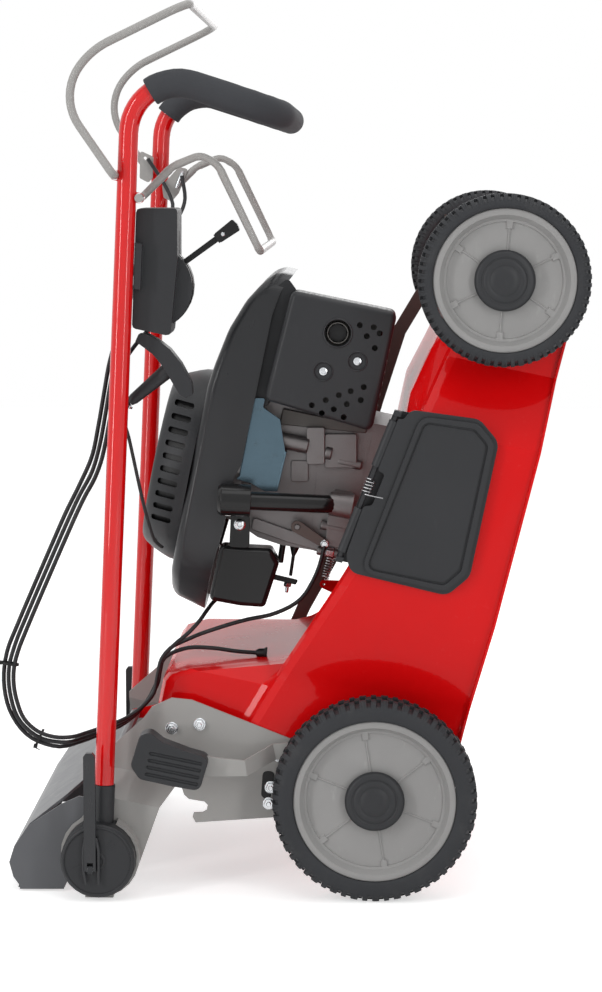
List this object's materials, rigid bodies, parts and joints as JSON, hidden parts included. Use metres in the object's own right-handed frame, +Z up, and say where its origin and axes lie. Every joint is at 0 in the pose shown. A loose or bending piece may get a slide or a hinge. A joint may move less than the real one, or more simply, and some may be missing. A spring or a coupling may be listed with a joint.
{
  "type": "petrol lawn mower",
  "caption": "Petrol rotary lawn mower stored on end with its tubular handle folded up beside the engine, standing on two handle brackets and the rear wheels.",
  "frame": {"origin": "middle of the bounding box, at the bottom, where the stored mower stands", "axes": "+Z up along the stored mower, +X towards the underside of the deck, +Y towards the left side of the mower"},
  "size_m": [0.657, 0.529, 0.9994],
  "materials": {
    "deck_red": "gloss enamel",
    "handle_red": "gloss powder coat",
    "light_grey_steel": "satin powder coat",
    "black_plastic": "fine grain",
    "gloss_black_plastic": "smooth",
    "grey_plastic": "fine grain",
    "tyre_rubber": "matt",
    "foam": "open foam",
    "cast_alloy": "as cast",
    "dark_iron": "dull",
    "zinc_steel": "zinc plated",
    "baffle_blue": "satin",
    "cable_black": "smooth sheath",
    "rope_black": "braided"
  },
  "bodies": {
    "chassis": {"air_filter_box": "gloss_black_plastic", "blower_shroud": "gloss_black_plastic", "brake_cable": "cable_black", "deck": "deck_red", "drive_cable": "cable_black", "drive_cover": "black_plastic", "engine_block": "cast_alloy", "flap_hinge": "black_plastic", "fuel_tank": "black_plastic", "gearbox": "black_plastic", "handle_bracket_left": "light_grey_steel", "handle_bracket_right": "light_grey_steel", "heat_baffle": "baffle_blue", "link_spring": "zinc_steel", "muffler": "dark_iron", "muffler_guard": "dark_iron", "oil_filler_tube": "black_plastic", "starter_cover": "gloss_black_plastic", "starter_rope": "rope_black", "throttle_cable": "cable_black"},
    "height_control": {"height_lever": "light_grey_steel", "height_lever_grip": "black_plastic", "rear_axle": "zinc_steel"},
    "front_axle_arm": {"front_axle": "zinc_steel"},
    "link": {"height_link": "dark_iron"},
    "rear_right_wheel": {"rear_right_cap": "gloss_black_plastic", "rear_right_rim": "grey_plastic", "rear_right_tyre": "tyre_rubber"},
    "rear_left_wheel": {"rear_left_cap": "gloss_black_plastic", "rear_left_rim": "grey_plastic", "rear_left_tyre": "tyre_rubber"},
    "front_right_wheel": {"front_right_cap": "gloss_black_plastic", "front_right_rim": "grey_plastic", "front_right_tyre": "tyre_rubber"},
    "front_left_wheel": {"front_left_cap": "gloss_black_plastic", "front_left_rim": "grey_plastic", "front_left_tyre": "tyre_rubber"},
    "handle": {"control_box": "gloss_black_plastic", "foam_grip": "foam", "handle_tube": "handle_red", "knuckle_left": "black_plastic", "knuckle_right": "black_plastic", "rope_guide": "zinc_steel"},
    "right_lock": {"lock_lever_right": "black_plastic"},
    "left_lock": {"lock_lever_left": "black_plastic"},
    "upper_bail_body": {"upper_bail": "light_grey_steel"},
    "lower_bail_body": {"lower_bail": "light_grey_steel"},
    "throttle": {"throttle_lever": "black_plastic"},
    "pull_grip": {"starter_grip": "black_plastic"},
    "side_flap": {"discharge_flap": "black_plastic", "flap_spring": "zinc_steel"},
    "back_flap": {"rear_flap": "grey_plastic"},
    "crank_train": {"blade": "zinc_steel", "blade_holder": "dark_iron", "crankshaft": "zinc_steel", "flywheel": "dark_iron"},
    "recoil_pulley": {"starter_pulley": "black_plastic"},
    "cap": {"fuel_cap": "gloss_black_plastic"},
    "dipstick_body": {"dipstick": "black_plastic"},
    "brake": {"brake_arm": "zinc_steel"}
  },
  "joints": [
    {"name": "height_lever_turn", "type": "hinge", "parent": "chassis", "child": "height_control", "pos_m": [0.09481, 0, 0.17109], "axis": [0, 1, 0], "range_deg": [-16, 16], "deforming": ["link_spring"]},
    {"name": "front_axle_turn", "type": "hinge", "parent": "chassis", "child": "front_axle_arm", "pos_m": [0.23481, 0, 0.75158], "axis": [0, 1, 0], "range_deg": [-16.2, 16.2]},
    {"name": "link_turn", "type": "hinge", "parent": "height_control", "child": "link", "pos_m": [0.0497, 0, 0.17017], "axis": [0, 1, 0], "range_deg": [-16.2, 16.2]},
    {"name": "rear_right_wheel_spin", "type": "hinge", "parent": "height_control", "child": "rear_right_wheel", "pos_m": [0.09449, -0.232, 0.115], "axis": [0, 1, 0], "continuous": true},
    {"name": "rear_left_wheel_spin", "type": "hinge", "parent": "height_control", "child": "rear_left_wheel", "pos_m": [0.09449, 0.232, 0.115], "axis": [0, 1, 0], "continuous": true},
    {"name": "front_right_wheel_spin", "type": "hinge", "parent": "front_axle_arm", "child": "front_right_wheel", "pos_m": [0.23449, -0.232, 0.69549], "axis": [0, 1, 0], "continuous": true},
    {"name": "front_left_wheel_spin", "type": "hinge", "parent": "front_axle_arm", "child": "front_left_wheel", "pos_m": [0.23449, 0.232, 0.69549], "axis": [0, 1, 0], "continuous": true},
    {"name": "handle_fold", "type": "hinge", "parent": "chassis", "child": "handle", "pos_m": [-0.21578, 0, 0.04618], "axis": [0, -1, 0], "range_deg": [0, 131], "deforming": ["throttle_cable", "brake_cable", "drive_cable", "starter_rope"]},
    {"name": "right_lock_turn", "type": "hinge", "parent": "handle", "child": "right_lock", "pos_m": [-0.22341, -0.2605, 0.03836], "axis": [1, 0, 0], "range_deg": [0, 95]},
    {"name": "left_lock_turn", "type": "hinge", "parent": "handle", "child": "left_lock", "pos_m": [-0.22341, 0.2605, 0.03836], "axis": [-1, 0, 0], "range_deg": [0, 95]},
    {"name": "upper_bail_squeeze", "type": "hinge", "parent": "handle", "child": "upper_bail_body", "pos_m": [-0.19196, 0, 0.80958], "axis": [0, 1, 0], "range_deg": [0, 38], "stiffness_Nm_per_rad": 2, "springref_deg": -28.65},
    {"name": "lower_bail_squeeze", "type": "hinge", "parent": "handle", "child": "lower_bail_body", "pos_m": [-0.16544, 0, 0.78472], "axis": [0, -1, 0], "range_deg": [0, 45], "stiffness_Nm_per_rad": 2, "springref_deg": -28.65},
    {"name": "throttle_turn", "type": "hinge", "parent": "handle", "child": "throttle", "pos_m": [-0.15639, -0.185, 0.68637], "axis": [0, 1, 0], "range_deg": [-24, 24]},
    {"name": "starter_pull", "type": "slide", "parent": "handle", "child": "pull_grip", "axis": [0.7678, 0, 0.6407], "range_m": [0, 1.2]},
    {"name": "discharge_flap_lift", "type": "hinge", "parent": "chassis", "child": "side_flap", "pos_m": [0.11917, -0.2375, 0.55201], "axis": [-0.3661, 0, -0.9306], "range_deg": [0, 80], "stiffness_Nm_per_rad": 0.3, "springref_deg": -22.92},
    {"name": "rear_flap_lift", "type": "hinge", "parent": "chassis", "child": "back_flap", "pos_m": [-0.20842, 0, 0.13145], "axis": [0, 1, 0], "range_deg": [0, 60]},
    {"name": "crank_spin", "type": "hinge", "parent": "chassis", "child": "crank_train", "pos_m": [0.10311, 0, 0.41952], "axis": [-0.9794, 0, 0.2018], "continuous": true},
    {"name": "pulley_spin", "type": "hinge", "parent": "chassis", "child": "recoil_pulley", "pos_m": [-0.13882, 0, 0.46936], "axis": [-0.9794, 0, 0.2018], "range_deg": [-5, 1540]},
    {"name": "fuel_cap_turn", "type": "hinge", "parent": "chassis", "child": "cap", "pos_m": [-0.0691, 0.144, 0.48563], "axis": [-0.9794, 0, 0.2018], "range_deg": [0, 90]},
    {"name": "dipstick_turn", "type": "hinge", "parent": "chassis", "child": "dipstick_body", "pos_m": [-0.07632, -0.139, 0.44066], "axis": [-0.9974, -0.0539, 0.0481], "range_deg": [0, 90]},
    {"name": "brake_arm_turn", "type": "hinge", "parent": "chassis", "child": "brake", "pos_m": [0.00398, -0.097, 0.40421], "axis": [0, 1, 0], "range_deg": [-1, 20]}
  ],
  "couplings": [
    {"joint": "front_axle_turn", "follows": "height_lever_turn", "ratio": 1},
    {"joint": "link_turn", "follows": "height_lever_turn", "ratio": -1},
    {"joint": "pulley_spin", "follows": "starter_pull", "rad_per_m": 22.222},
    {"joint": "brake_arm_turn", "follows": "upper_bail_squeeze", "ratio": 0.5}
  ]
}
